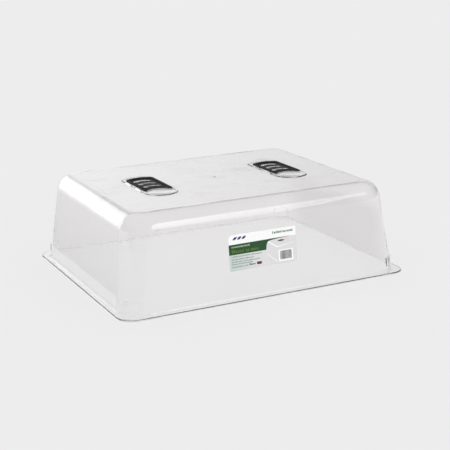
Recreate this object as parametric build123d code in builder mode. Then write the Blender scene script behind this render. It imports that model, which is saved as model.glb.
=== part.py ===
"""Clear propagator cover: a rigid moulded dome with a flange, two sliding top vents and a label.

The cover stands open side down, with its origin at the middle of the resting plane.
+X runs along the long side, +Y towards the back and +Z up.  Millimetres throughout.
"""
from math import asin, cos, degrees, radians, sqrt, tan
import os

from build123d import *

# Overall size of the moulding
LENGTH = 520.0
WIDTH = 420.0
TOP_HEIGHT = 155.0
WALL = 2.0

# Drafted walls and the rolled shoulder that joins them to the flat top
DRAFT = 6.9
FOOT_INSET = 8.5
WALL_CORNER_RADIUS = 42.0
SHOULDER_RADIUS = 30.0

# Outward flange with a lip that turns down to the resting plane
FLANGE_TOP = 3.0
FLANGE_THICKNESS = 2.0
FLANGE_CORNER_RADIUS = 28.0
LIP_WIDTH = 2.2
LIP_EDGE_FILLET = 0.4
FLANGE_EDGE_FILLET = 1.0
FOOT_FILLET = 4.0

# Stacking lugs: an undrafted patch on each wall corner that ends in a small ledge
LUG_TOP = 25.0
LUG_MERGE_HEIGHT = 9.0
LUG_DIRECTION = 45.0
LUG_HALF_ANGLE = 21.0
LUG_DEPTH = 6.0
LUG_ROOT_DEPTH = 2.0
LUG_SIDE_FILLET = 1.4
LUG_EDGE_FILLET = 0.6

# Vents: where they sit, and the slider
VENT_X = 122.5
SLIDER_HALF_WIDTH = 25.0
SLIDER_THICKNESS = 2.8
SLIDER_FAR_CORNER_Y = 44.0
SLIDER_FAR_APEX_Y = 52.0
SLIDER_HORN_Y = -41.0
SLIDER_CORNER_RADIUS = 6.5
SLIDER_EDGE_FILLET = 0.7
SLIDER_TRAVEL = 10.5
RUNNING_GAP = 0.3
END_GAP = 1.0
NOTCH_CENTRE_Y = -53.0
NOTCH_RADIUS = 25.0
HORN_TIP_FILLET = 1.0

# Shallow panel sunk in the slider's face round its slots
PANEL_MARGIN = 6.0
PANEL_DEPTH = 1.6
PANEL_CORNER_RADIUS = 5.0

# Three curved air slots in the slider, each over a pair of narrow slots in the cover
SLOT_APEX_YS = (35.0, 14.0, -7.0)
SLOT_ARC_RADIUS = 20.0
SLOT_HALF_CHORD = 12.5
SLOT_WIDTH = 9.5
NARROW_SLOT_WIDTH = 3.6

# Low rim round each slider and its finger scoop
RIM_HEIGHT = 1.6
RIM_WIDTH = 4.4
RIM_DRAFT = 40.0
RIM_OUTER_FILLET = 0.8
RIM_INNER_FILLET = 0.3
TRACK_CORNER_RADIUS = 8.0
TRACK_NEAR_CENTRE_Y = -48.2
SCOOP_CENTRE_Y = -51.0
SCOOP_RADIUS = 20.0
SCOOP_DEPTH = 1.6

# Snap legs under the slider, and the guide slots that they run in
LEG_X = 22.3
LEG_YS = (24.0, -20.0)
LEG_THICKNESS = 1.8
LEG_LENGTH = 8.0
LEG_SIDE_GAP = 0.3
LEG_END_GAP = 0.5
BARB_REACH = 1.3
BARB_HEIGHT = 2.0

# Moulding gate mark at the middle of the top
GATE_RADIUS = 2.4
GATE_HEIGHT = 0.8
GATE_EDGE_FILLET = 0.35

# Adhesive label on the front wall
LABEL_WIDTH = 122.0
LABEL_HEIGHT = 58.0
LABEL_THICKNESS = 0.2
LABEL_CENTRE_X = -9.0
LABEL_CENTRE_UP_WALL = 78.0
LABEL_CORNER_RADIUS = 2.0
LABEL_TOP_LEFT_RADIUS = 8.0

DRAFT_SLOPE = tan(radians(DRAFT))
WALL_ACROSS = WALL / cos(radians(DRAFT))
FLANGE_UNDERSIDE = FLANGE_TOP - FLANGE_THICKNESS
FLOOR_UNDERSIDE = TOP_HEIGHT - WALL
SLIDER_UNDERSIDE = TOP_HEIGHT + RUNNING_GAP
SLIDER_TOP = SLIDER_UNDERSIDE + SLIDER_THICKNESS
SLOT_HALF_ANGLE = degrees(asin(SLOT_HALF_CHORD / SLOT_ARC_RADIUS))

os.makedirs("parts", exist_ok=True)


def outer_half_sizes(height):
    """Half length and half width of the drafted wall's outside at a height."""
    inset = FOOT_INSET + height * DRAFT_SLOPE
    return LENGTH / 2 - inset, WIDTH / 2 - inset


def wall_sections(low, high, inset, corner_radius):
    """Two rounded rectangles that the drafted wall, or its hollow, is lofted between."""
    sections = []
    for height in (low, high):
        half_x, half_y = outer_half_sizes(height)
        with BuildSketch(Plane.XY.offset(height)) as section:
            RectangleRounded(2 * (half_x - inset), 2 * (half_y - inset), corner_radius)
        sections.append(section.sketch)
    return sections


def track_face(margin, corner_radius, plane):
    """Plan of the track, or a margin outside it: a half-round near end and a bowed far end."""
    half_width = SLIDER_HALF_WIDTH + RUNNING_GAP + margin
    far_corner_y = SLIDER_FAR_CORNER_Y + SLIDER_TRAVEL + END_GAP + margin / 2
    far_apex_y = SLIDER_FAR_APEX_Y + SLIDER_TRAVEL + END_GAP + margin
    with BuildSketch(plane) as face:
        with BuildLine():
            Line((half_width, TRACK_NEAR_CENTRE_Y), (half_width, far_corner_y))
            ThreePointArc((half_width, far_corner_y), (0, far_apex_y), (-half_width, far_corner_y))
            Line((-half_width, far_corner_y), (-half_width, TRACK_NEAR_CENTRE_Y))
            ThreePointArc((-half_width, TRACK_NEAR_CENTRE_Y),
                          (0, TRACK_NEAR_CENTRE_Y - half_width),
                          (half_width, TRACK_NEAR_CENTRE_Y))
        make_face()
        far_corners = face.vertices().sort_by(Axis.Y)[-2:]
        fillet(far_corners, radius=corner_radius)
    return face.sketch


def slider_face(margin, corner_radius, plane):
    """Plan of the slider, or of the panel sunk a margin inside its outline."""
    half_width = SLIDER_HALF_WIDTH - margin
    notch_radius = NOTCH_RADIUS + margin
    notch_apex_y = NOTCH_CENTRE_Y + notch_radius
    horn_x = sqrt(notch_radius ** 2 - (SLIDER_HORN_Y + margin - NOTCH_CENTRE_Y) ** 2)
    near_x = min(horn_x, half_width)
    near_y = NOTCH_CENTRE_Y + sqrt(notch_radius ** 2 - near_x ** 2)
    far_corner_y = SLIDER_FAR_CORNER_Y - margin
    far_apex_y = SLIDER_FAR_APEX_Y - margin
    with BuildSketch(plane) as face:
        with BuildLine():
            Line((half_width, near_y), (half_width, far_corner_y))
            ThreePointArc((half_width, far_corner_y), (0, far_apex_y), (-half_width, far_corner_y))
            Line((-half_width, far_corner_y), (-half_width, near_y))
            if near_x < half_width:
                Line((-half_width, near_y), (-near_x, near_y))
            ThreePointArc((-near_x, near_y), (0, notch_apex_y), (near_x, near_y))
            if near_x < half_width:
                Line((near_x, near_y), (half_width, near_y))
        make_face()
        far_corners = face.vertices().sort_by(Axis.Y)[-2:]
        fillet(far_corners, radius=corner_radius)
    return face.sketch


def air_slots(radii, width, plane):
    """Plan of the curved slots, which bow towards the far end: one slot per radius and apex."""
    with BuildSketch(plane) as slots:
        for apex_y in SLOT_APEX_YS:
            for radius in radii:
                with BuildLine(mode=Mode.PRIVATE) as middle:
                    CenterArc((0, apex_y - SLOT_ARC_RADIUS), radius,
                              90 - SLOT_HALF_ANGLE, 2 * SLOT_HALF_ANGLE)
                SlotArc(middle.wires()[0], width)
    return slots.sketch


# --- Cover: the clear moulding -------------------------------------------------------------

# Hollow of the dome
with BuildPart() as hollow:
    for section in wall_sections(0, FLOOR_UNDERSIDE, WALL_ACROSS, WALL_CORNER_RADIUS - WALL):
        add(section)
    loft(ruled=True)
    fillet(hollow.edges().group_by(Axis.Z)[-1], radius=SHOULDER_RADIUS - WALL)

# One vent's raised rim, at the middle of the part, standing on the flat top
vent_plane = Plane.XY.offset(TOP_HEIGHT)
with BuildPart() as vent_rim:
    add(track_face(RIM_WIDTH, TRACK_CORNER_RADIUS + RIM_WIDTH, vent_plane))
    extrude(amount=RIM_HEIGHT, taper=RIM_DRAFT)
    fillet(vent_rim.edges().group_by(Axis.Z)[-1], radius=RIM_OUTER_FILLET)
    add(track_face(0, TRACK_CORNER_RADIUS, vent_plane))
    extrude(amount=RIM_HEIGHT, mode=Mode.SUBTRACT)
    rim_top = vent_rim.faces().sort_by(Axis.Z)[-1]
    fillet(rim_top.inner_wires()[0].edges(), radius=RIM_INNER_FILLET)

# Finger scoop: a shallow dish in the top with the same wall under it
scoop_sphere = (SCOOP_RADIUS ** 2 + SCOOP_DEPTH ** 2) / (2 * SCOOP_DEPTH)
scoop_centre = (0, SCOOP_CENTRE_Y, TOP_HEIGHT + scoop_sphere - SCOOP_DEPTH)
with BuildPart() as scoop_dish:
    with Locations(scoop_centre):
        Sphere(scoop_sphere)
    split(bisect_by=Plane.XY.offset(TOP_HEIGHT), keep=Keep.BOTTOM)
with BuildPart() as scoop_belly:
    with Locations(scoop_centre):
        Sphere(scoop_sphere + WALL)
    split(bisect_by=Plane.XY.offset(TOP_HEIGHT - WALL / 2), keep=Keep.BOTTOM)

# Everything that is cut through the floor of one track
narrow_slot_shift = (SLOT_WIDTH - NARROW_SLOT_WIDTH) / 2
narrow_slot_radii = (SLOT_ARC_RADIUS - narrow_slot_shift, SLOT_ARC_RADIUS + narrow_slot_shift)
leg_slot_length = LEG_LENGTH + SLIDER_TRAVEL + 2 * LEG_END_GAP
leg_slot_shift = (leg_slot_length - LEG_LENGTH) / 2 - LEG_END_GAP
leg_slot_places = [(side * LEG_X, leg_y + leg_slot_shift) for side in (-1, 1) for leg_y in LEG_YS]
with BuildPart() as floor_cuts:
    add(air_slots(narrow_slot_radii, NARROW_SLOT_WIDTH, vent_plane))
    with BuildSketch(vent_plane):
        with Locations(*leg_slot_places):
            Rectangle(LEG_THICKNESS + 2 * LEG_SIDE_GAP, leg_slot_length)
    extrude(amount=-2 * WALL)

# Flange and its lip
with BuildPart() as flange:
    with BuildSketch(Plane.XY):
        RectangleRounded(LENGTH, WIDTH, FLANGE_CORNER_RADIUS)
    extrude(amount=FLANGE_TOP)
    with BuildSketch(Plane.XY):
        RectangleRounded(LENGTH - 2 * LIP_WIDTH, WIDTH - 2 * LIP_WIDTH,
                         FLANGE_CORNER_RADIUS - LIP_WIDTH)
    extrude(amount=FLANGE_UNDERSIDE, mode=Mode.SUBTRACT)
    fillet(flange.edges().group_by(Axis.Z)[-1], radius=FLANGE_EDGE_FILLET)
    fillet(flange.edges().group_by(Axis.Z)[0], radius=LIP_EDGE_FILLET)

# Stacking lugs: one on the right-hand back corner, then its mirror images
lug_x, lug_y = outer_half_sizes(LUG_MERGE_HEIGHT)
lug_middle = (lug_x - WALL_CORNER_RADIUS, lug_y - WALL_CORNER_RADIUS)
with BuildPart() as lugs:
    with BuildSketch(Plane.XY.offset(LUG_MERGE_HEIGHT - LUG_ROOT_DEPTH)):
        with BuildLine():
            outside = CenterArc(lug_middle, WALL_CORNER_RADIUS,
                                LUG_DIRECTION - LUG_HALF_ANGLE, 2 * LUG_HALF_ANGLE)
            inside = CenterArc(lug_middle, WALL_CORNER_RADIUS - LUG_DEPTH,
                               LUG_DIRECTION - LUG_HALF_ANGLE, 2 * LUG_HALF_ANGLE)
            Line(outside @ 0, inside @ 0)
            Line(outside @ 1, inside @ 1)
        make_face()
    extrude(amount=LUG_TOP - LUG_MERGE_HEIGHT + LUG_ROOT_DEPTH)
    fillet(lugs.edges().filter_by(Axis.Z).sort_by_distance((0, 0, 0))[-2:], radius=LUG_SIDE_FILLET)
    fillet(lugs.edges().group_by(Axis.Z)[-1], radius=LUG_EDGE_FILLET)
    mirror(about=Plane.XZ)
    mirror(about=Plane.YZ)

with BuildPart() as cover:
    # Drafted body with its rolled shoulder
    for section in wall_sections(FLANGE_UNDERSIDE, TOP_HEIGHT, 0, WALL_CORNER_RADIUS):
        add(section)
    loft(ruled=True)
    fillet(cover.edges().group_by(Axis.Z)[-1], radius=SHOULDER_RADIUS)

    # Flange, blended into the foot of the walls
    add(flange.part)
    flange_face = cover.faces().filter_by(Axis.Z).group_by(Axis.Z)[-2].sort_by(SortBy.AREA)[-1]
    fillet(flange_face.inner_wires()[0].edges(), radius=FOOT_FILLET)

    add(lugs.part)

    # Gate mark
    with BuildSketch(Plane.XY.offset(TOP_HEIGHT - WALL / 2)):
        Circle(GATE_RADIUS)
    extrude(amount=WALL / 2 + GATE_HEIGHT)
    fillet(cover.edges().group_by(Axis.Z)[-1], radius=GATE_EDGE_FILLET)

    # Hollow, with its foot flared to keep the wall under the flange's blend even
    add(hollow.part, mode=Mode.SUBTRACT)
    flange_underside = cover.faces().filter_by(Axis.Z).group_by(Axis.Z)[1].sort_by(SortBy.AREA)[-1]
    fillet(flange_underside.inner_wires()[0].edges(), radius=FOOT_FILLET + WALL)

    # Both vents
    for side in (-1, 1):
        with Locations((side * VENT_X, 0, 0)):
            add(vent_rim.part)
            add(scoop_belly.part)
            add(scoop_dish.part, mode=Mode.SUBTRACT)
            add(floor_cuts.part, mode=Mode.SUBTRACT)
cover.part.label = "cover"
export_step(cover.part, "parts/cover.step")

# --- Vent sliders --------------------------------------------------------------------------

slider_top_plane = Plane.XY.offset(SLIDER_TOP)
barb_top = FLOOR_UNDERSIDE - RUNNING_GAP
with BuildPart() as slider:
    add(slider_face(0, SLIDER_CORNER_RADIUS, Plane.XY.offset(SLIDER_UNDERSIDE)))
    extrude(amount=SLIDER_THICKNESS)
    fillet(slider.edges().filter_by(Axis.Z).group_by(Axis.Y)[0], radius=HORN_TIP_FILLET)
    fillet(slider.edges().group_by(Axis.Z)[-1], radius=SLIDER_EDGE_FILLET)
    add(slider_face(PANEL_MARGIN, PANEL_CORNER_RADIUS, slider_top_plane))
    extrude(amount=-PANEL_DEPTH, mode=Mode.SUBTRACT)
    add(air_slots((SLOT_ARC_RADIUS,), SLOT_WIDTH, slider_top_plane))
    extrude(amount=-2 * SLIDER_THICKNESS, mode=Mode.SUBTRACT)

    # Snap legs: a straight stem through the floor, and a wedge that hooks outwards under it
    for leg_y in LEG_YS:
        with BuildSketch(Plane.XZ.offset(-leg_y + LEG_LENGTH / 2)) as leg_profile:
            with BuildLine():
                Polyline((LEG_X - LEG_THICKNESS / 2, SLIDER_UNDERSIDE),
                         (LEG_X + LEG_THICKNESS / 2, SLIDER_UNDERSIDE),
                         (LEG_X + LEG_THICKNESS / 2, barb_top),
                         (LEG_X + LEG_THICKNESS / 2 + BARB_REACH, barb_top),
                         (LEG_X + LEG_THICKNESS / 2, barb_top - BARB_HEIGHT),
                         (LEG_X - LEG_THICKNESS / 2, barb_top - BARB_HEIGHT),
                         close=True)
            make_face()
            mirror(about=Plane.YZ)
        extrude(amount=-LEG_LENGTH)

for name, side in (("left_vent_slider", -1), ("right_vent_slider", 1)):
    with BuildPart() as placed_slider:
        with Locations((side * VENT_X, 0, 0)):
            add(slider.part)
    placed_slider.part.label = name
    export_step(placed_slider.part, f"parts/{name}.step")

# --- Label ---------------------------------------------------------------------------------

front_wall = Plane(origin=(0, -(WIDTH / 2 - FOOT_INSET), 0), x_dir=(1, 0, 0),
                   z_dir=(0, -cos(radians(DRAFT)), cos(radians(DRAFT)) * DRAFT_SLOPE))
label_centre = front_wall.from_local_coords((LABEL_CENTRE_X, LABEL_CENTRE_UP_WALL, 0))
label_plane = Plane(origin=label_centre, x_dir=front_wall.x_dir, z_dir=front_wall.z_dir)
with BuildPart() as product_label:
    with BuildSketch(label_plane) as outline:
        Rectangle(LABEL_WIDTH, LABEL_HEIGHT)
        top_left = outline.vertices().sort_by(Axis.Y)[-2:].sort_by(Axis.X)[0]
        other_corners = [corner for corner in outline.vertices() if corner != top_left]
        fillet(top_left, radius=LABEL_TOP_LEFT_RADIUS)
        fillet(other_corners, radius=LABEL_CORNER_RADIUS)
    extrude(amount=LABEL_THICKNESS)
product_label.part.label = "product_label"
export_step(product_label.part, "parts/product_label.step")
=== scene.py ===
"""Looks of the propagator cover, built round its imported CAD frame.  Metres throughout."""
from math import cos, pi, radians, sin, tan
import random

import bmesh
import bpy
from mathutils import Matrix, Vector
from mathutils.geometry import tessellate_polygon


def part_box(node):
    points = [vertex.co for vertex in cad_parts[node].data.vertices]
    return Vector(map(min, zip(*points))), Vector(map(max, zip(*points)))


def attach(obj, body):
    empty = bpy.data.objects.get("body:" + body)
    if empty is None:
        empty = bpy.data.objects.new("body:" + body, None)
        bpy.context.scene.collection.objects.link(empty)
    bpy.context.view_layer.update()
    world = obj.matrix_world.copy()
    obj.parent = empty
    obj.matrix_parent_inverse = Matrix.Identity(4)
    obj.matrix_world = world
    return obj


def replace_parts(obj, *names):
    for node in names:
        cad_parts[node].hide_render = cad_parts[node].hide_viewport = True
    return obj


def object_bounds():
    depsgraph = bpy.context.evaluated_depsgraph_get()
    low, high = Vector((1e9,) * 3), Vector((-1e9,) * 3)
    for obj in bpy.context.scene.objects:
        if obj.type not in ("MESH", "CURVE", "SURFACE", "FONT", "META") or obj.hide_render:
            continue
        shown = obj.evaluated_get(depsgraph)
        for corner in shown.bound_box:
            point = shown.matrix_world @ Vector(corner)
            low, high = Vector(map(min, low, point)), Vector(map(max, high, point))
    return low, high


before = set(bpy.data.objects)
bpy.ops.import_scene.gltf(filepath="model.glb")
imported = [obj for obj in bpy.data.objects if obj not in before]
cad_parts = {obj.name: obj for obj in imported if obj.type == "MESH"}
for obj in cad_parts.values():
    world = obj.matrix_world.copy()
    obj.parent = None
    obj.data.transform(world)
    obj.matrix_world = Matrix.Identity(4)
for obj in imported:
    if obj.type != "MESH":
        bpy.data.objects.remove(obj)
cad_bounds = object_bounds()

MM = 0.001

# Camera: where it stands round the cover, and how it is framed
CAMERA_AZIMUTH = -25.79
CAMERA_ELEVATION = 15.37
CAMERA_ROLL = -1.21
CAMERA_DISTANCE = 1.9595
CAMERA_TARGET = Vector((0, 0, 80 * MM))
CAMERA_LENS = 89.65
CAMERA_SHIFT = (0.0216, -0.0144)

# Studio: luminances are relative to a white that just clips, and angles are in degrees
FLOOR_SIZE = 80.0
FLOOR_DROP = 0.2 * MM
FLOOR_GLOW = 0.742
FLOOR_ALBEDO = 0.20

# Bright backdrop behind the cover: from left to right it rises to its peak, then falls
BACKDROP_AZIMUTH = 12.0
BACKDROP_HALF_WIDTH = 48.0
BACKDROP_SIDE_FADE = 8.0
BACKDROP_TOP = 24.0
BACKDROP_TOP_FADE = 2.0
BACKDROP_RISE = (7.0, 16.0)
BACKDROP_FALL = (18.0, 32.0)
BACKDROP_LEFT_SHARE = 0.66
BACKDROP_PEAK = 0.992
BACKDROP_RIGHT = 0.72

# The room round it: a dark gap over the backdrop, a pale ceiling, and dimmer sides and front
GAP_LUMINANCE = 0.08
CEILING_FOOT = 32.0
CEILING_FADE = 4.0
UPPER_LUMINANCE = 0.576
SIDE_LUMINANCE = 0.2
FRONT_LUMINANCE = 0.6
SIDE_TO_FRONT = (90.0, 150.0)
FRONT_TO_OVERHEAD = (20.0, 50.0)
HORIZON_LUMINANCE = 0.85

# Light panels: the points that they are placed from, their luminances, the share of the fill that
# is left at its far side, and the watts per square metre that make a luminance of 1
LEFT_SHOULDER = Vector((-240 * MM, 0, 140 * MM))
FRONT_SHOULDER = Vector((0, -200 * MM, 140 * MM))
FRONT_WALL = Vector((0, -200 * MM, 80 * MM))
KEY_LUMINANCE = 1.0
FILL_LUMINANCE = 2.1
FILL_FALLING = 0.5
LABEL_LUMINANCE = 1.35
PANEL_WATTS = 4.0

# Grey cards beside the cover: how far each stands from the flange, and how opaque the shade is, a
# faint black sheet of painted shade
FLAG_GAP = 32 * MM
SHADE_GAP = 2 * MM
SHADE_COVER = 0.14

# Clear walls seen through clear walls need long light paths
LIGHT_BOUNCES = 32

# The front wall's drafted plane, found from the CAD label that lies on it: x along the wall and s
# up it from the resting plane, both in millimetres
WALL_DRAFT = radians(6.9)
CAD_LABEL_THICKNESS = 0.2
label_low, label_high = (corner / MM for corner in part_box("product_label"))
FILM_LEFT, FILM_RIGHT = label_low.x, label_high.x
FILM_LOW = label_low.z / cos(WALL_DRAFT)
FILM_HIGH = (label_high.z - CAD_LABEL_THICKNESS * sin(WALL_DRAFT)) / cos(WALL_DRAFT)
WALL_FOOT_Y = label_high.y - FILM_HIGH * sin(WALL_DRAFT)

# Label: the film's section and corners, and its layers of ink
FILM_LIFT = 0.02 * MM
FILM_TOP = 0.14 * MM
INK_STEP = 0.012 * MM
FILM_RADIUS = 2.0
FILM_TOP_LEFT_RADIUS = 8.0
ARC_STEPS = 8
LEAF_STEPS = 10

# Label: its panels, in the front wall's plane
BAND_LOW, BAND_HIGH = 75.0, 91.5
PANEL_SPLIT = 0.0
PICTURE_CORNER = -3.0
PICTURE_TOP = 92.0

# Small print: widths of its marks, how tall they are, and how often a word ends
MARK_WIDTHS = (0.9, 2.6)
MARK_HEIGHTS = (0.7, 0.7, 1.0)
WORD_END_CHANCE = 0.16
WORD_GAP = 2.6

# Bar block: widths of its bars and of the gaps between them
BAR_WIDTHS = (0.35, 0.7, 0.7, 1.05)
BAR_GAPS = (0.2, 0.3, 0.35)

# Inks: colour, and how much darker it is where it is uneven
PICTURE_TONE = (0.73, 0.715, 0.72)
INKS = {
    "white": ((0.93, 0.94, 0.93), 0.02),
    "green": ((0.008, 0.075, 0.018), 0.25),
    "olive": ((0.13, 0.21, 0.012), 0.2),
    "cream": ((0.42, 0.50, 0.38), 0.1),
    "grey_green": ((0.20, 0.29, 0.25), 0.1),
    "navy": ((0.030, 0.030, 0.14), 0.2),
    "print_green": ((0.035, 0.17, 0.09), 0.15),
    "picture": (PICTURE_TONE, 0.04),
    "dark": ((0.07, 0.07, 0.075), 0.2),
    "badge": ((0.13, 0.02, 0.035), 0.2),
    "pink": ((0.80, 0.62, 0.64), 0.05),
}
PALE_PANEL = (0.56, 0.62, 0.60)
PALE_PANEL_FADE = (-72 * MM, 0.0)
RUBBED_INK = (0.60, 0.62, 0.60)


# --- Node helpers --------------------------------------------------------------------------

class Tree:
    """Adds nodes to one node tree.  Inputs are sockets to link, or plain values."""

    def __init__(self, owner):
        owner.use_nodes = True
        self.tree = owner.node_tree
        self.tree.nodes.clear()

    def add(self, kind, inputs=None, **settings):
        node = self.tree.nodes.new(kind)
        for key, value in settings.items():
            setattr(node, key, value)
        for key, value in (inputs or {}).items():
            self.feed(node.inputs[key], value)
        return node

    def feed(self, socket, value):
        if isinstance(value, bpy.types.NodeSocket):
            self.tree.links.new(value, socket)
        else:
            socket.default_value = value

    def math(self, operation, *values):
        node = self.add("ShaderNodeMath", operation=operation)
        for socket, value in zip(node.inputs, values):
            self.feed(socket, value)
        return node.outputs[0]

    def remap(self, value, low, high, to_low=0.0, to_high=1.0, smooth=False):
        inputs = {"Value": value, "From Min": low, "From Max": high,
                  "To Min": to_low, "To Max": to_high}
        kind = "SMOOTHSTEP" if smooth else "LINEAR"
        node = self.add("ShaderNodeMapRange", inputs, interpolation_type=kind)
        return node.outputs["Result"]

    def mix(self, factor, first, second):
        return self.add("ShaderNodeMix", {"Factor": factor, "A": first, "B": second}).outputs[0]

    def mix_colour(self, factor, first, second):
        node = self.add("ShaderNodeMix", data_type="RGBA")
        self.feed(node.inputs["Factor"], factor)
        for socket, value in zip([s for s in node.inputs if s.type == "RGBA"], (first, second)):
            self.feed(socket, value)
        return [s for s in node.outputs if s.type == "RGBA"][0]

    def place(self, kind="Object"):
        return self.add("ShaderNodeTexCoord").outputs[kind]

    def axes(self, vector):
        return self.add("ShaderNodeSeparateXYZ", {"Vector": vector}).outputs

    def noise(self, scale, stretch=(1, 1, 1), detail=2.0):
        """Noise in the object's own coordinates, at a number of cells per metre."""
        mapped = self.add("ShaderNodeMapping", {"Vector": self.place(), "Scale": stretch})
        inputs = {"Vector": mapped.outputs[0], "Scale": scale, "Detail": detail}
        return self.add("ShaderNodeTexNoise", inputs).outputs["Fac"]

    def bump(self, height, distance, normal=None):
        inputs = {"Height": height, "Distance": distance}
        if normal is not None:
            inputs["Normal"] = normal
        return self.add("ShaderNodeBump", inputs).outputs["Normal"]

    def principled(self, inputs):
        """Ends a material in one Principled shader."""
        self.output(self.add("ShaderNodeBsdfPrincipled", inputs).outputs[0])

    def output(self, shader, kind="ShaderNodeOutputMaterial"):
        self.add(kind, {"Surface": shader})


def rgba(red, green, blue):
    return (red, green, blue, 1.0)


# --- Materials -----------------------------------------------------------------------------

def clear_plastic():
    """Injection-moulded clear styrene: a slight tint, flow waviness, hairline scratches."""
    material = bpy.data.materials.new("clear_plastic")
    tree = Tree(material)
    cloud = tree.noise(9.0, detail=3.0)
    tint = tree.mix_colour(cloud, rgba(0.948, 0.936, 0.941), rgba(0.972, 0.962, 0.966))
    scratches = tree.remap(tree.noise(60.0, stretch=(1, 14, 6), detail=4.0), 0.60, 0.72)
    haze = tree.remap(tree.noise(35.0, detail=4.0), 0.3, 0.8, 0.015, 0.055)
    rough = tree.math("ADD", haze, tree.math("MULTIPLY", scratches, 0.05))
    wave = tree.bump(tree.noise(16.0, detail=1.0), 0.4 * MM)
    normal = tree.bump(scratches, 0.01 * MM, normal=wave)
    tree.principled({"Base Color": tint, "Roughness": rough, "Normal": normal,
                     "Transmission Weight": 1.0, "IOR": 1.52})
    return material


def vent_plastic():
    """Charcoal moulded plastic: fine spark grain, rubbed paler along its travel, and paler along
    its sharp edges, partly as wear and partly as a painted highlight.
    """
    material = bpy.data.materials.new("vent_plastic")
    tree = Tree(material)
    grain = tree.noise(2600.0)
    mottle = tree.noise(70.0, detail=4.0)
    rub = tree.remap(tree.noise(500.0, stretch=(1, 0.04, 1), detail=3.0), 0.55, 0.75)
    # Paler along sharp edges: partly wear, partly a painted highlight that brightens the slot
    # edges like glints.
    edge = tree.remap(tree.add("ShaderNodeNewGeometry").outputs["Pointiness"], 0.505, 0.56)
    base = tree.mix_colour(mottle, rgba(0.013, 0.013, 0.014), rgba(0.021, 0.021, 0.022))
    rubbed = tree.mix_colour(tree.math("MULTIPLY", rub, 0.25), base, rgba(0.06, 0.06, 0.064))
    wear_and_edge_highlight = tree.mix_colour(tree.math("MULTIPLY", edge, 0.6), rubbed, rgba(0.12, 0.12, 0.124))
    rough = tree.remap(mottle, 0.3, 0.7, 0.55, 0.72)
    tree.principled({"Base Color": wear_and_edge_highlight, "Roughness": rough, "Normal": tree.bump(grain, 0.06 * MM),
                     "Specular IOR Level": 0.03})
    return material


def ink_surface(tree, base, uneven):
    """Satin ink with a fine paper-like tooth, rougher where it is uneven."""
    rough = tree.remap(uneven, 0.3, 0.7, 0.28, 0.42)
    normal = tree.bump(tree.noise(1500.0), 0.01 * MM)
    tree.principled({"Base Color": base, "Roughness": rough, "Normal": normal, "IOR": 1.48})


def print_ink(name, colour, spread):
    """Printed ink on film, its colour a little uneven."""
    material = bpy.data.materials.new(name)
    tree = Tree(material)
    uneven = tree.noise(180.0, detail=5.0)
    darker = rgba(*(c * (1 - spread) for c in colour))
    ink_surface(tree, tree.mix_colour(uneven, darker, rgba(*colour)), uneven)
    return material


def fading_ink(name, colour, faded, start, end):
    """Printed ink whose colour fades into another along the label."""
    material = bpy.data.materials.new(name)
    tree = Tree(material)
    fade = tree.remap(tree.axes(tree.place())[0], start, end, smooth=True)
    uneven = tree.noise(120.0, detail=5.0)
    ink = tree.mix_colour(fade, rgba(*colour), rgba(*faded))
    rubbed = tree.remap(uneven, 0.3, 0.8, 0.0, 0.10)
    ink_surface(tree, tree.mix_colour(rubbed, ink, rgba(*RUBBED_INK)), uneven)
    return material


def floor_material():
    """Pale sweep, lit mostly by its own glow so that it stays even to the horizon."""
    material = bpy.data.materials.new("studio_floor")
    Tree(material).principled({"Base Color": rgba(FLOOR_ALBEDO, FLOOR_ALBEDO, FLOOR_ALBEDO),
                               "Roughness": 1.0, "Specular IOR Level": 0.0,
                               "Emission Color": rgba(1, 1, 1), "Emission Strength": FLOOR_GLOW})
    return material


# --- Label ---------------------------------------------------------------------------------

def on_wall(x, s, lift):
    """Point at x and s millimetres on the front wall, lifted off it by so many metres."""
    return Vector((x * MM,
                   (WALL_FOOT_Y + s * sin(WALL_DRAFT)) * MM - lift * cos(WALL_DRAFT),
                   s * MM * cos(WALL_DRAFT) + lift * sin(WALL_DRAFT)))


def arc(centre, radius, start, end):
    """Points along an arc, from one angle in degrees to another, both included."""
    angles = [radians(start + (end - start) * i / ARC_STEPS) for i in range(ARC_STEPS + 1)]
    return [(centre[0] + radius * cos(a), centre[1] + radius * sin(a)) for a in angles]


def box_outline(left, low, right, high, radius=0.0, top_left_radius=None):
    """Outline of a box with rounded corners, anticlockwise from its lower left."""
    if radius == 0:
        return [(left, low), (right, low), (right, high), (left, high)]
    first = radius if top_left_radius is None else top_left_radius
    return (arc((left + radius, low + radius), radius, 180, 270)
            + arc((right - radius, low + radius), radius, 270, 360)
            + arc((right - radius, high - radius), radius, 0, 90)
            + arc((left + first, high - first), first, 90, 180))


def across(start, end):
    """Unit vector square to the way from start to end."""
    return Vector((start.y - end.y, end.x - start.x)).normalized()


def stroke(start, end, width, end_width):
    """Outline of a straight stroke that tapers or widens."""
    a, b = Vector(start), Vector(end)
    side = across(a, b) / 2
    return [tuple(a - side * width), tuple(b - side * end_width),
            tuple(b + side * end_width), tuple(a + side * width)]


def leaf(base, tip, belly):
    """Outline of a pointed leaf between two points."""
    a, b = Vector(base), Vector(tip)
    side = across(a, b)
    shares = [i / LEAF_STEPS for i in range(LEAF_STEPS + 1)]
    left = [a.lerp(b, share) + side * belly * sin(pi * share) for share in shares]
    right = [a.lerp(b, share) - side * belly * sin(pi * share) for share in shares[-2:0:-1]]
    return [tuple(point) for point in left + right]


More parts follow.
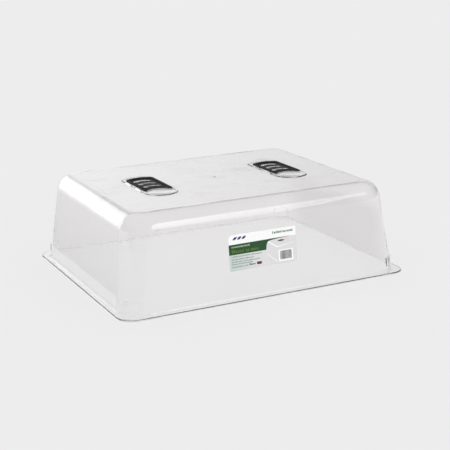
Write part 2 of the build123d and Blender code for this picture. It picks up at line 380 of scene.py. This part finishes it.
class Print:
    """Thin plates of ink or film, gathered into one mesh with a material for each colour."""

    def __init__(self, name):
        self.name = name
        self.bm = bmesh.new()
        self.materials = []

    def plate(self, outline, material, low, high):
        if material not in self.materials:
            self.materials.append(material)
        index = self.materials.index(material)
        under, over = ([self.bm.verts.new(on_wall(x, s, lift)) for x, s in outline]
                       for lift in (low, high))
        faces = []
        for corners in tessellate_polygon([[Vector((x, s, 0)) for x, s in outline]]):
            faces.append(self.bm.faces.new([over[i] for i in corners]))
            faces.append(self.bm.faces.new([under[i] for i in reversed(corners)]))
        for i in range(len(outline)):
            faces.append(self.bm.faces.new((under[i - 1], under[i], over[i], over[i - 1])))
        for face in faces:
            face.material_index = index

    def ink(self, outline, material, layer):
        """A layer's ink lies on the film or on the layer under it."""
        low = FILM_TOP + (layer - 1) * INK_STEP
        self.plate(outline, material, low, low + INK_STEP)

    def finish(self, body):
        bmesh.ops.recalc_face_normals(self.bm, faces=self.bm.faces)
        mesh = bpy.data.meshes.new(self.name)
        self.bm.to_mesh(mesh)
        self.bm.free()
        for material in self.materials:
            mesh.materials.append(material)
        piece = bpy.data.objects.new(self.name, mesh)
        bpy.context.scene.collection.objects.link(piece)
        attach(piece, body)
        return piece


def greeked_line(sheet, left, right, middle, height, material, layer, seed, gap=0.55):
    """A line of meaningless marks the size of small print."""
    chance = random.Random(seed)
    low = middle - height / 2
    x = left
    while x < right:
        end = min(x + chance.uniform(*MARK_WIDTHS), right)
        tall = height * chance.choice(MARK_HEIGHTS)
        sheet.ink(box_outline(x, low, end, low + tall), material, layer)
        x = end + (gap * WORD_GAP if chance.random() < WORD_END_CHANCE else gap)


def bar_block(sheet, left, right, low, high, material, layer, seed):
    """Upright bars of uneven width, which encode nothing."""
    chance = random.Random(seed)
    x = left
    while x < right:
        width = chance.choice(BAR_WIDTHS)
        sheet.ink(box_outline(x, low, min(x + width, right), high), material, layer)
        x += width + chance.choice(BAR_GAPS)


def label_film(inks):
    """The film that stands for the CAD label."""
    film = Print("label_film")
    outline = box_outline(FILM_LEFT, FILM_LOW, FILM_RIGHT, FILM_HIGH,
                          FILM_RADIUS, FILM_TOP_LEFT_RADIUS)
    film.plate(outline, inks["white"], FILM_LIFT, FILM_TOP)
    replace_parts(film.finish("cover_body"), "product_label")


def label_panels(sheet, inks):
    """The pale foot, the picture's ground, and the green band with its tapering tail."""
    pale = fading_ink("label_pale_panel", PALE_PANEL, PICTURE_TONE, *PALE_PANEL_FADE)
    arc_height = FILM_LOW + FILM_RADIUS
    left_foot = arc((FILM_LEFT + FILM_RADIUS, arc_height), FILM_RADIUS, 180, 270)
    right_foot = arc((FILM_RIGHT - FILM_RADIUS, arc_height), FILM_RADIUS, 270, 360)
    sheet.ink(left_foot + [(PANEL_SPLIT, FILM_LOW), (PANEL_SPLIT, BAND_LOW),
                           (FILM_LEFT, BAND_LOW)], pale, 1)
    sheet.ink([(PANEL_SPLIT, FILM_LOW)] + right_foot
              + [(FILM_RIGHT, PICTURE_TOP), (PICTURE_CORNER, PICTURE_TOP),
                 (PICTURE_CORNER, BAND_LOW), (PANEL_SPLIT, BAND_LOW)], inks["picture"], 1)
    band_end = [(-3.5, BAND_LOW), (-2.6, 82), (-1.4, 86), (1.0, 88.2), (5, 89.4)]
    tail = [(20, 90.8), (40, 91.7), (40, 92.1)]
    sheet.ink([(FILM_LEFT, BAND_LOW)] + band_end + tail + [(FILM_LEFT, BAND_HIGH)],
              inks["green"], 2)


def label_marks(sheet, inks):
    """Plain leaves instead of a name, and rows of meaningless marks."""
    for left in (-62.5, -54.5, -46.5):
        sheet.ink(leaf((left, 98.8), (left + 8.5, 103.2), 1.9), inks["navy"], 1)

    # Right-hand heading, and two lines in the green band
    greeked_line(sheet, 9, 46.5, 101.2, 4.2, inks["print_green"], 1, seed=3, gap=0.7)
    greeked_line(sheet, -65, -33, 87.7, 2.9, inks["cream"], 3, seed=4)
    greeked_line(sheet, -65, -18, 80.4, 5.0, inks["olive"], 3, seed=5, gap=1.4)

    # Small print, each row given by its middle and its right-hand end, and a plain badge
    rows = ((72.0, -12), (67.5, -27), (63.5, -16), (60.0, -29), (55.5, -37))
    for seed, (middle, right) in enumerate(rows, start=10):
        greeked_line(sheet, -66, right, middle, 1.9, inks["grey_green"], 2, seed=seed, gap=0.5)
    greeked_line(sheet, -35, -24, 56.2, 2.6, inks["navy"], 2, seed=20)
    sheet.ink(box_outline(-22, 54, -13, 58.4, 1.6), inks["badge"], 2)


def label_picture(sheet, inks):
    """Drawing of a cover: pale edges, a dark vent and a pink spot."""
    sheet.ink(stroke((0.5, 87.5), (17, 76.8), 1.7, 2.2), inks["white"], 2)
    sheet.ink(stroke((17, 77.0), (50, 81.5), 1.6, 0.4), inks["white"], 2)
    sheet.ink(stroke((-3, 68.5), (15, 53.5), 0.8, 1.4), inks["white"], 2)
    sheet.ink(leaf((17, 86.6), (31, 86.8), 1.5), inks["dark"], 2)
    sheet.ink(leaf((31, 88.2), (38, 88.0), 1.6), inks["pink"], 2)


def build_label():
    """The label: its film, and one mesh of printed ink."""
    inks = {name: print_ink("label_" + name, *recipe) for name, recipe in INKS.items()}
    label_film(inks)
    sheet = Print("label_print")
    label_panels(sheet, inks)
    label_marks(sheet, inks)
    label_picture(sheet, inks)
    # Bar block on its white box
    sheet.ink(box_outline(18, 52.5, 45, 71.5), inks["white"], 3)
    bar_block(sheet, 21, 42, 55.5, 69.5, inks["dark"], 4, seed=30)
    sheet.finish("cover_body")


# --- Studio --------------------------------------------------------------------------------

def studio_floor():
    half = FLOOR_SIZE / 2
    mesh = bpy.data.meshes.new("studio_floor")
    mesh.from_pydata([(-half, -half, 0), (half, -half, 0), (half, half, 0), (-half, half, 0)],
                     [], [(0, 1, 2, 3)])
    mesh.materials.append(floor_material())
    floor = bpy.data.objects.new("studio_floor", mesh)
    floor.location.z = -FLOOR_DROP
    bpy.context.scene.collection.objects.link(floor)
    return floor


def studio_world():
    """A bright backdrop behind the cover, a dimmer room round it, and a horizon like the floor."""
    world = bpy.data.worlds.new("studio")
    tree = Tree(world)
    axes = tree.axes(tree.place("Generated"))
    elevation = tree.math("MULTIPLY", tree.math("ARCSINE", axes[2]), 180 / pi)
    azimuth = tree.math("MULTIPLY", tree.math("ARCTAN2", axes[0], axes[1]), 180 / pi)
    away = tree.math("ABSOLUTE", tree.math("SUBTRACT", azimuth, BACKDROP_AZIMUTH))

    # Behind the cover: backdrop, gap and ceiling
    rise = tree.remap(azimuth, *BACKDROP_RISE, BACKDROP_LEFT_SHARE, 1.0, smooth=True)
    fall = tree.remap(azimuth, *BACKDROP_FALL, BACKDROP_PEAK, BACKDROP_RIGHT)
    backdrop = tree.math("MULTIPLY", fall, rise)
    ceiling = tree.remap(elevation, CEILING_FOOT - CEILING_FADE, CEILING_FOOT + CEILING_FADE,
                         GAP_LUMINANCE, UPPER_LUMINANCE, smooth=True)
    below_top = tree.remap(elevation, BACKDROP_TOP + BACKDROP_TOP_FADE,
                           BACKDROP_TOP - BACKDROP_TOP_FADE, smooth=True)
    back_side = tree.mix(below_top, ceiling, backdrop)

    # Everywhere else: sides, front and overhead
    front = tree.remap(away, *SIDE_TO_FRONT, SIDE_LUMINANCE, FRONT_LUMINANCE, smooth=True)
    overhead = tree.remap(elevation, *FRONT_TO_OVERHEAD, smooth=True)
    room = tree.mix(overhead, front, UPPER_LUMINANCE)
    behind = tree.remap(away, BACKDROP_HALF_WIDTH + BACKDROP_SIDE_FADE,
                        BACKDROP_HALF_WIDTH - BACKDROP_SIDE_FADE, smooth=True)
    whole = tree.mix(behind, room, back_side)

    # Looked at straight, past the floor's far edge, the room is as pale as the floor
    seen = tree.add("ShaderNodeLightPath").outputs["Is Camera Ray"]
    shader = tree.add("ShaderNodeBackground",
                      {"Color": rgba(1, 1, 1),
                       "Strength": tree.mix(seen, whole, HORIZON_LUMINANCE)})
    tree.output(shader.outputs[0], "ShaderNodeOutputWorld")
    bpy.context.scene.world = world


def soft_edges(light, edge_across, edge_up, falling=1.0):
    """Fades a light panel towards its edges, over these shares of its width and height.

    falling is the share of the light that is left at one side, against the other.
    """
    tree = Tree(light)
    axes = tree.axes(tree.place("UV"))
    strength = tree.remap(axes[0], 0.0, 1.0, 1.0, falling)
    for along, edge in ((axes[0], edge_across), (axes[1], edge_up)):
        from_middle = tree.math("ABSOLUTE", tree.math("SUBTRACT", along, 0.5))
        to_edge = tree.math("SUBTRACT", 0.5, from_middle)
        strength = tree.math("MULTIPLY", strength, tree.remap(to_edge, 0.0, edge, smooth=True))
    shader = tree.add("ShaderNodeEmission", {"Strength": strength})
    tree.output(shader.outputs[0], "ShaderNodeOutputLight")


def softbox(name, aim, azimuth, distance, half_angle, low, high, luminance, lit):
    """An upright light panel, placed by the directions that it fills as seen from a point."""
    reach = Vector((sin(radians(azimuth)), cos(radians(azimuth)), 0)) * distance
    bottom = aim.z + distance * tan(radians(low))
    top = aim.z + distance * tan(radians(high))
    light = bpy.data.lights.new(name, "AREA")
    light.shape = "RECTANGLE"
    light.size = 2 * distance * tan(radians(half_angle))
    light.size_y = top - bottom
    light.energy = luminance * light.size * light.size_y * PANEL_WATTS
    lamp = bpy.data.objects.new(name, light)
    lamp.location = Vector((aim.x + reach.x, aim.y + reach.y, (bottom + top) / 2))
    lamp.rotation_euler = (-reach).to_track_quat("-Z", "Z").to_euler()
    lamp.visible_camera = False
    lamp.light_linking.receiver_collection = lit
    bpy.context.scene.collection.objects.link(lamp)
    return lamp


def all_but(piece):
    """A collection for light linking that holds everything except one piece."""
    lit = bpy.data.collections.new("lit")
    lit.objects.link(piece)
    lit.collection_objects[0].light_linking.link_state = "EXCLUDE"
    return lit


def studio_lights(lit):
    """A key from behind on the left, a fill from the front right, and a light for the label."""
    key = softbox("key", LEFT_SHOULDER, azimuth=-21.5, distance=1.25, half_angle=28.5,
                  low=-4, high=36, luminance=KEY_LUMINANCE, lit=lit)
    soft_edges(key.data, 0.16, 0.18)
    fill = softbox("fill", FRONT_SHOULDER, azimuth=151.05, distance=1.6, half_angle=14.85,
                   low=5, high=49, luminance=FILL_LUMINANCE, lit=lit)
    soft_edges(fill.data, 0.03, 0.26, FILL_FALLING)
    label_light = softbox("label_light", FRONT_WALL, azimuth=195, distance=1.6, half_angle=24,
                          low=5, high=45, luminance=LABEL_LUMINANCE, lit=lit)
    label_light.visible_glossy = False
    label_light.visible_transmission = False


def card(name, x, near, far, top, end_fade, top_fade, tones, cover):
    """An upright grey card beside the object, hidden from the camera.

    It fades in from its two ends and from its top, its tone runs from foot to top, and cover is
    its opacity.
    A faint black card is a sheet of painted shade.
    """
    mesh = bpy.data.meshes.new(name)
    mesh.from_pydata([(x, near, 0), (x, far, 0), (x, far, top), (x, near, top)],
                     [], [(0, 1, 2, 3)])
    material = bpy.data.materials.new(name)
    tree = Tree(material)
    axes = tree.axes(tree.place())
    foot_tone, top_tone = tones
    tone = foot_tone if foot_tone == top_tone else tree.remap(axes[2], 0.0, top, *tones)
    inside = tree.math("MINIMUM", tree.math("SUBTRACT", axes[1], near),
                       tree.math("SUBTRACT", far, axes[1]))
    along = tree.remap(inside, 0.0, end_fade, 0.0, cover, smooth=True)
    upward = tree.remap(axes[2], top, top - top_fade, smooth=True)
    shader = tree.add("ShaderNodeMixShader", {"Fac": tree.math("MULTIPLY", along, upward)})
    tree.feed(shader.inputs[1], tree.add("ShaderNodeBsdfTransparent").outputs[0])
    tree.feed(shader.inputs[2], tree.add("ShaderNodeEmission", {"Strength": tone}).outputs[0])
    tree.output(shader.outputs[0])
    mesh.materials.append(material)
    holder = bpy.data.objects.new(name, mesh)
    holder.visible_camera = False
    holder.visible_diffuse = False
    holder.visible_shadow = False
    bpy.context.scene.collection.objects.link(holder)
    return holder


def studio_cards():
    """One card for the left wall to reflect, and one of painted shade, a faint black sheet that
    only shows through the right wall and darkens what is seen there.
    """
    left, right = cad_bounds[0].x, cad_bounds[1].x
    flag = card("flag", left - FLAG_GAP, near=-620 * MM, far=700 * MM, top=110 * MM,
                end_fade=120 * MM, top_fade=10 * MM, tones=(0.36, 0.66), cover=1.0)
    flag.visible_transmission = False
    # The shade card is painted shade: a faint black sheet, seen only through the right wall, that
    # darkens what lies beyond it.
    shade = card("shade", right + SHADE_GAP, near=-190 * MM, far=230 * MM, top=108 * MM,
                 end_fade=110 * MM, top_fade=32 * MM, tones=(0.0, 0.0), cover=SHADE_COVER)
    shade.visible_glossy = False


def camera():
    azimuth, elevation, roll = (radians(a) for a in
                                (CAMERA_AZIMUTH, CAMERA_ELEVATION, CAMERA_ROLL))
    back = Vector((sin(azimuth) * cos(elevation), -cos(azimuth) * cos(elevation), sin(elevation)))
    level = (-back).cross(Vector((0, 0, 1))).normalized()
    up = level.cross(-back)
    right = level * cos(roll) + up * sin(roll)
    top = up * cos(roll) - level * sin(roll)
    view = bpy.data.cameras.new("camera")
    view.lens = CAMERA_LENS
    view.shift_x, view.shift_y = CAMERA_SHIFT
    view.clip_end = FLOOR_SIZE
    holder = bpy.data.objects.new("camera", view)
    holder.matrix_world = Matrix((right, top, back)).transposed().to_4x4()
    holder.location = CAMERA_TARGET + back * CAMERA_DISTANCE
    bpy.context.scene.collection.objects.link(holder)
    bpy.context.scene.camera = holder


# --- Put it together -----------------------------------------------------------------------

def dress(node, material):
    """Gives a CAD node its finished material."""
    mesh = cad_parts[node].data
    mesh.materials.clear()
    mesh.materials.append(material)


dress("cover", clear_plastic())
slider_material = vent_plastic()
for slider in ("left_vent_slider", "right_vent_slider"):
    dress(slider, slider_material)
build_label()

lit_pieces = all_but(studio_floor())
studio_world()
studio_cards()
studio_lights(lit_pieces)
camera()
bpy.context.scene.view_settings.view_transform = "Standard"
bpy.context.scene.cycles.max_bounces = LIGHT_BOUNCES
bpy.context.scene.cycles.transmission_bounces = LIGHT_BOUNCES
bpy.context.scene.cycles.glossy_bounces = LIGHT_BOUNCES
